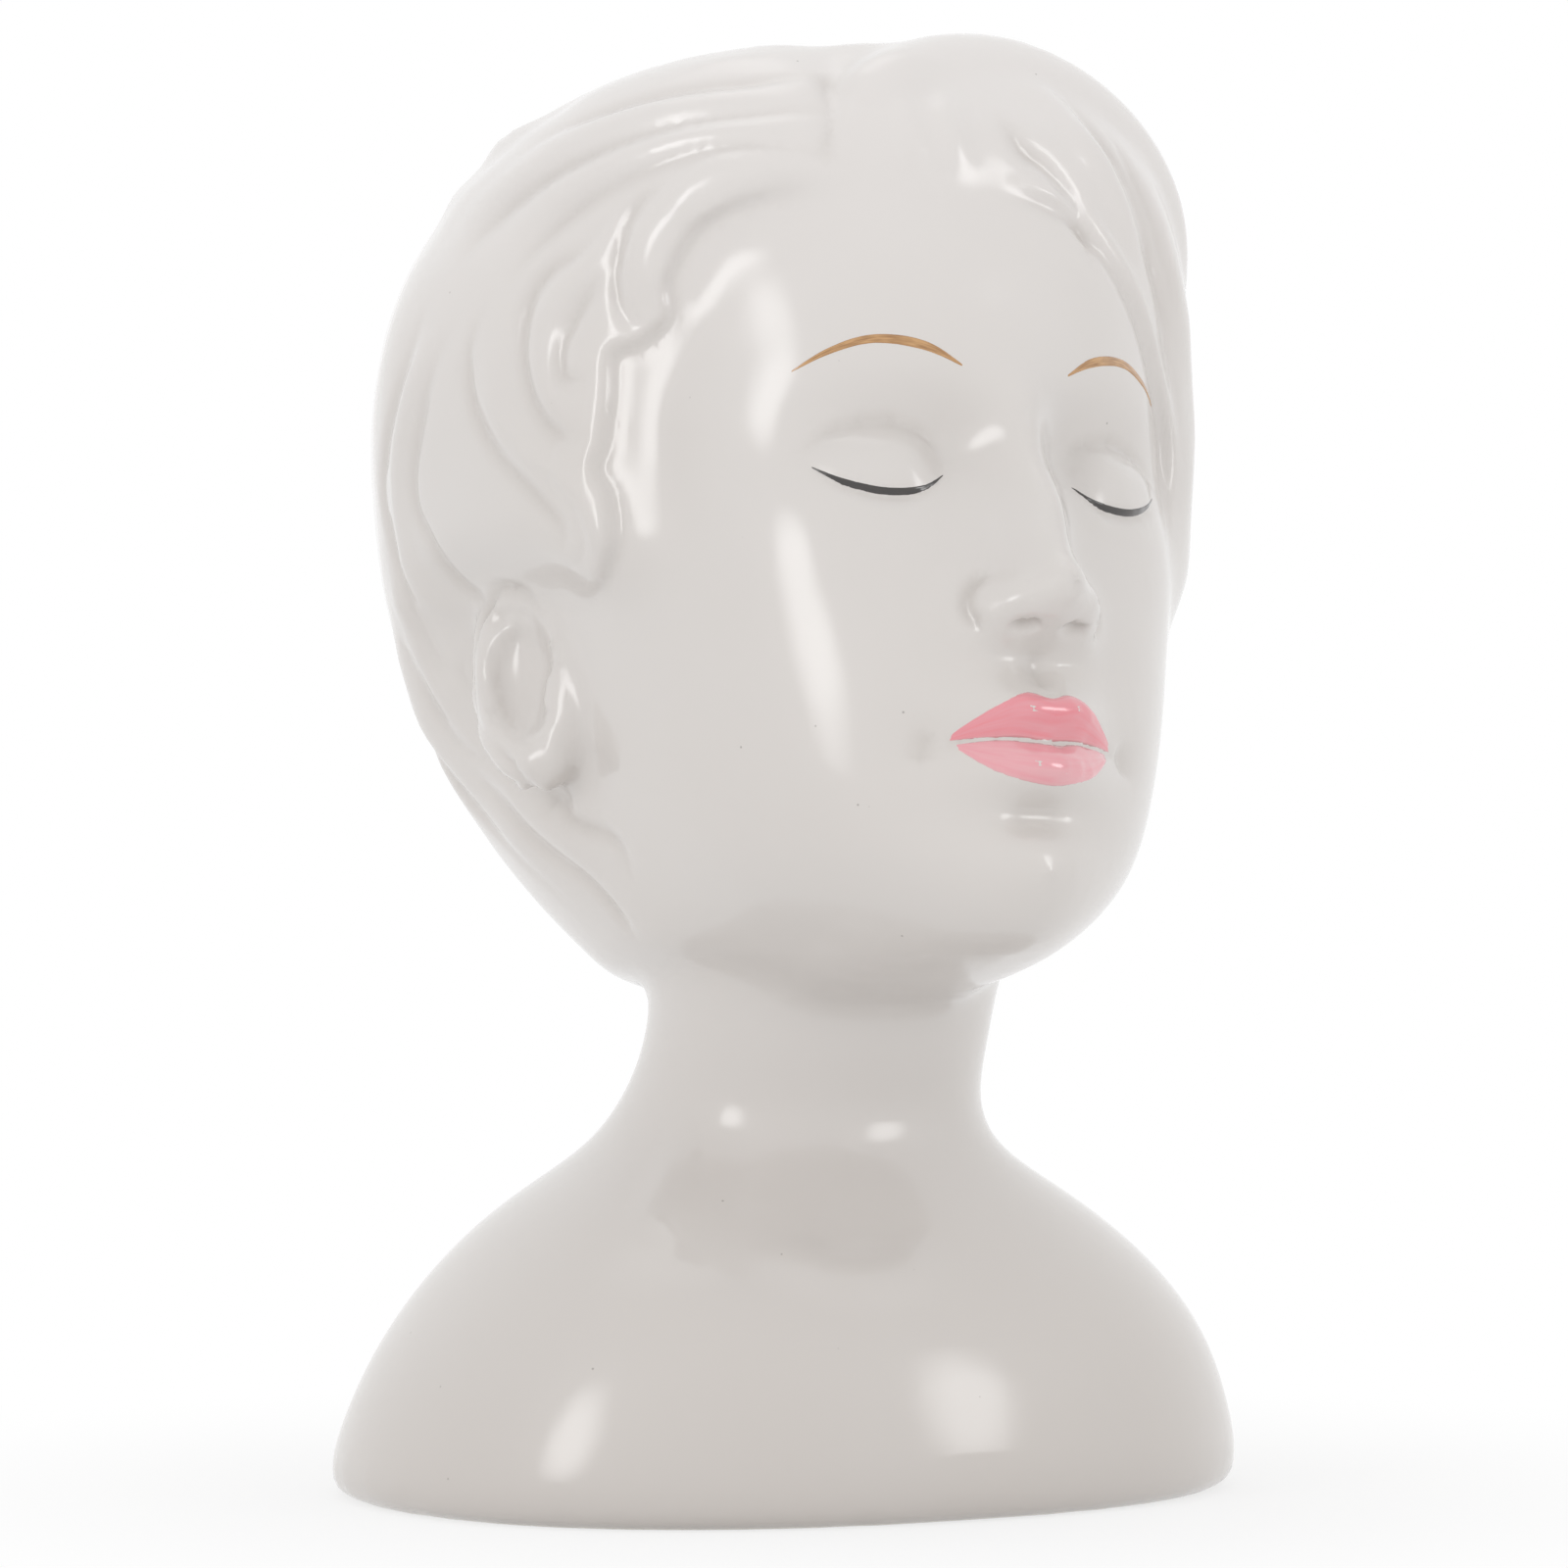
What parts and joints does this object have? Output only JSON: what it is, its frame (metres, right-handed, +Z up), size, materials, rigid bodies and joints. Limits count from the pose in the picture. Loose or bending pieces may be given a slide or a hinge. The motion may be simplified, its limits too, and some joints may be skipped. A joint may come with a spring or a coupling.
{
  "type": "head planter",
  "caption": "Hollow glazed ceramic bust with short carved hair, open at the crown to hold a small plant, with painted brows, lashes and lips and a drain plug under the base.",
  "frame": {"origin": "on the ground plane, under the middle of the whole width and length; the base lies 6.4 mm behind it", "axes": "+Z up, the face looks along -Y, the figure's left is +X"},
  "size_m": [0.0948, 0.1057, 0.1488],
  "materials": {
    "glaze": "gloss",
    "lip_enamel": "gloss",
    "brow_enamel": "gloss",
    "lash_enamel": "gloss",
    "plug_rubber": "matte"
  },
  "bodies": {
    "planter": {"ceramic_body": "glaze", "upper_lip_enamel": "lip_enamel", "lower_lip_enamel": "lip_enamel", "left_brow_enamel": "brow_enamel", "right_brow_enamel": "brow_enamel", "left_lash_enamel": "lash_enamel", "right_lash_enamel": "lash_enamel"},
    "plug": {"drain_plug": "plug_rubber"}
  },
  "joints": [
    {"name": "plug_pull", "type": "slide", "parent": "planter", "child": "plug", "axis": [0, 0, -1], "range_m": [0, 0.012]}
  ]
}
